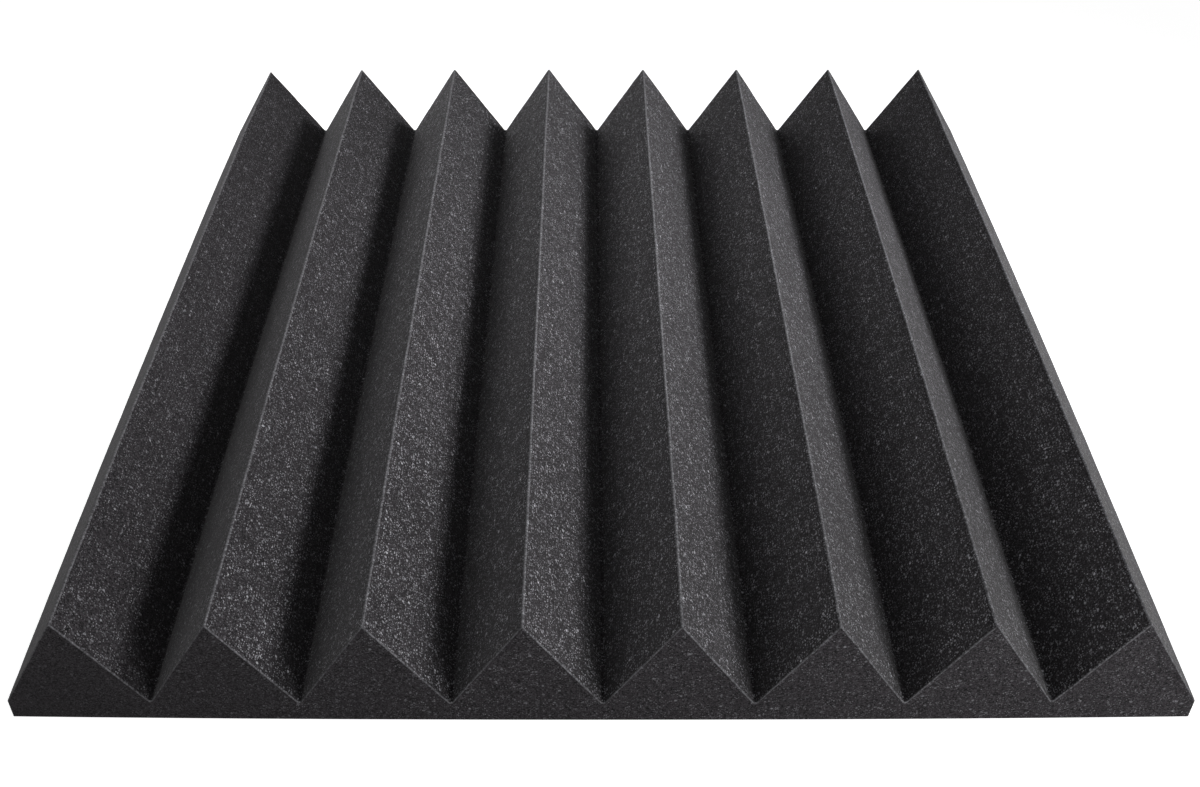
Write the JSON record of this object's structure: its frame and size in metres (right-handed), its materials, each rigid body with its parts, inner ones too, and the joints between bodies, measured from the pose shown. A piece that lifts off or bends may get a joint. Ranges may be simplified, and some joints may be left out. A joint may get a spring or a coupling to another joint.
{
  "type": "acoustic foam panel",
  "caption": "Square sound absorber of open-cell foam: parallel triangular ridges on the face, flat self-adhesive back under a slit paper liner.",
  "frame": {"origin": "middle of the back, on the outer face of the release liner", "axes": "+Z out of the back towards the ridges, +Y along the ridges, +X across them"},
  "size_m": [0.5, 0.5, 0.0574],
  "materials": {
    "foam": "matte",
    "adhesive": "satin",
    "liner": "satin"
  },
  "bodies": {
    "root": {"wedge_foam": "foam", "adhesive_film": "adhesive", "liner_pull_strip": "liner", "liner_main": "liner"}
  },
  "joints": []
}
